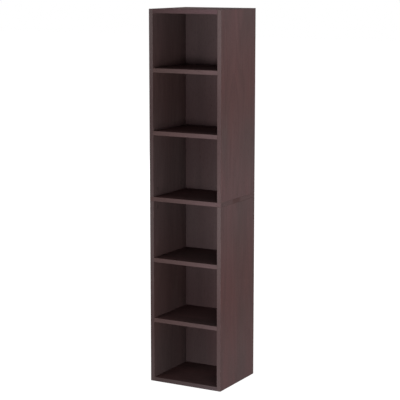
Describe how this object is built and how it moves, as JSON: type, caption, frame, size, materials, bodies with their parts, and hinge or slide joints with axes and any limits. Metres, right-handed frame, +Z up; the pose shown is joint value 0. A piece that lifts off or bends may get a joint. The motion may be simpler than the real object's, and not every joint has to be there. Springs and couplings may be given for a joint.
{
  "type": "cube bookshelf",
  "caption": "Tall narrow open-front bookshelf with cube compartments one above another, recessed back panels and two-part sides joined at a full-width middle board.",
  "frame": {"origin": "middle of the footprint, on the floor", "axes": "+Z up, the open front faces -Y, +X to the right of someone in front of it"},
  "size_m": [0.385, 0.346, 1.8],
  "materials": {
    "foil_board": "dark walnut wood-grain foil, satin, on 20 mm chipboard",
    "hardboard": "dark walnut foil on the front, bare brown hardboard behind",
    "zinc_fitting": "zinc plated",
    "beech_dowel": "bare fluted beech"
  },
  "bodies": {
    "root": {"lower_side_left": "foil_board", "lower_side_right": "foil_board", "upper_side_left": "foil_board", "upper_side_right": "foil_board", "bottom_board": "foil_board", "shelf_1": "foil_board", "shelf_2": "foil_board", "middle_board": "foil_board", "shelf_3": "foil_board", "shelf_4": "foil_board", "top_board": "foil_board", "back_panel_lower": "hardboard", "back_panel_upper": "hardboard", "cam_bottom_board_left_front": "zinc_fitting", "cam_bottom_board_left_rear": "zinc_fitting", "cam_bottom_board_right_front": "zinc_fitting", "cam_bottom_board_right_rear": "zinc_fitting", "cam_shelf_1_left_front": "zinc_fitting", "cam_shelf_1_left_rear": "zinc_fitting", "cam_shelf_1_right_front": "zinc_fitting", "cam_shelf_1_right_rear": "zinc_fitting", "cam_shelf_2_left_front": "zinc_fitting", "cam_shelf_2_left_rear": "zinc_fitting", "cam_shelf_2_right_front": "zinc_fitting", "cam_shelf_2_right_rear": "zinc_fitting", "cam_shelf_3_left_front": "zinc_fitting", "cam_shelf_3_left_rear": "zinc_fitting", "cam_shelf_3_right_front": "zinc_fitting", "cam_shelf_3_right_rear": "zinc_fitting", "cam_shelf_4_left_front": "zinc_fitting", "cam_shelf_4_left_rear": "zinc_fitting", "cam_shelf_4_right_front": "zinc_fitting", "cam_shelf_4_right_rear": "zinc_fitting", "cam_top_board_left_front": "zinc_fitting", "cam_top_board_left_rear": "zinc_fitting", "cam_top_board_right_front": "zinc_fitting", "cam_top_board_right_rear": "zinc_fitting", "through_bolt_left_front": "zinc_fitting", "through_bolt_left_rear": "zinc_fitting", "through_bolt_right_front": "zinc_fitting", "through_bolt_right_rear": "zinc_fitting", "dowel_bottom_board_left": "beech_dowel", "dowel_bottom_board_right": "beech_dowel", "dowel_shelf_1_left": "beech_dowel", "dowel_shelf_1_right": "beech_dowel", "dowel_shelf_2_left": "beech_dowel", "dowel_shelf_2_right": "beech_dowel", "dowel_shelf_3_left": "beech_dowel", "dowel_shelf_3_right": "beech_dowel", "dowel_shelf_4_left": "beech_dowel", "dowel_shelf_4_right": "beech_dowel", "dowel_top_board_left": "beech_dowel", "dowel_top_board_right": "beech_dowel", "dowel_lower_side_left": "beech_dowel", "dowel_lower_side_right": "beech_dowel", "dowel_upper_side_left": "beech_dowel", "dowel_upper_side_right": "beech_dowel"}
  },
  "joints": []
}
